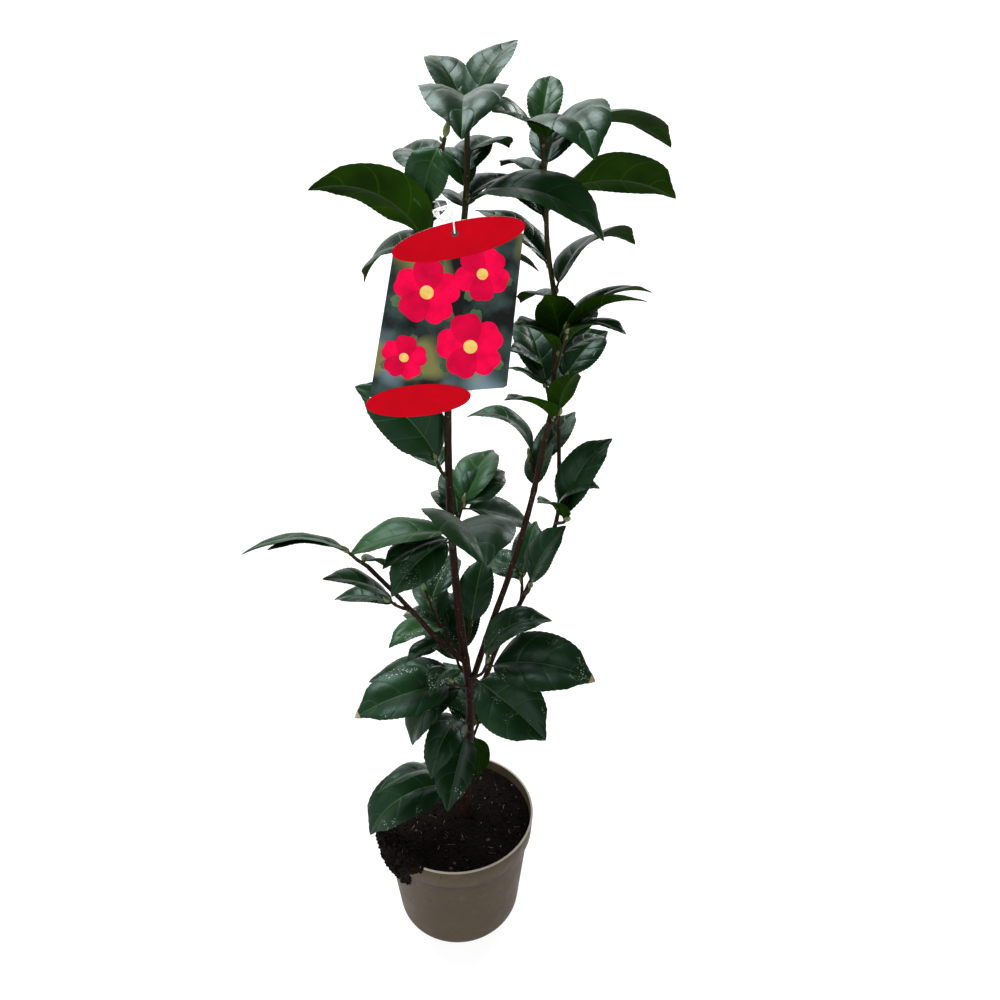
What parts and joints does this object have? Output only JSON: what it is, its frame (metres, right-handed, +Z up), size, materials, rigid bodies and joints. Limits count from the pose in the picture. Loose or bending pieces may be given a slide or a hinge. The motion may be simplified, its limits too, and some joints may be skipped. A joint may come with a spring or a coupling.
{
  "type": "potted camellia shrub",
  "caption": "Young camellia shrub with upright limbs, glossy pointed leaves and a hanging card tag, growing in a round tapered nursery pot.",
  "frame": {"origin": "centre of the pot's flat underside", "axes": "+Z up, -Y towards the front, where the card tag hangs, +X to the right seen from the front"},
  "size_m": [0.2926, 0.1889, 0.7422],
  "materials": {
    "pot_plastic": "matt taupe moulded plastic",
    "potting_mix": "rough moist near-black potting mix",
    "bark": "smooth dark maroon-brown bark",
    "foliage": "glossy dark green leaves with olive undersides",
    "label_card": "satin printed plastic card with a plain strap"
  },
  "bodies": {
    "root": {"pot": "pot_plastic", "potting_mix": "potting_mix", "trunk": "bark", "right_bough": "bark", "outer_right_bough": "bark", "left_bough": "bark", "crown_left": "foliage", "upper_left": "foliage", "crown_right": "foliage", "right_middle": "foliage", "right_front": "foliage", "right_back": "foliage", "outer_right_tip": "foliage", "right_lower": "foliage", "outer_right_middle": "foliage", "outer_right_low": "foliage", "outer_right_rear": "foliage", "centre_upper": "foliage", "centre_back": "foliage", "centre_front": "foliage", "left_tip": "foliage", "left_inner": "foliage", "middle_left": "foliage", "inner_left": "foliage", "inner_right": "foliage", "foot_left": "foliage", "foot_right": "foliage", "low_left": "foliage", "low_back": "foliage", "lowest_left": "foliage", "label": "label_card"}
  },
  "joints": []
}
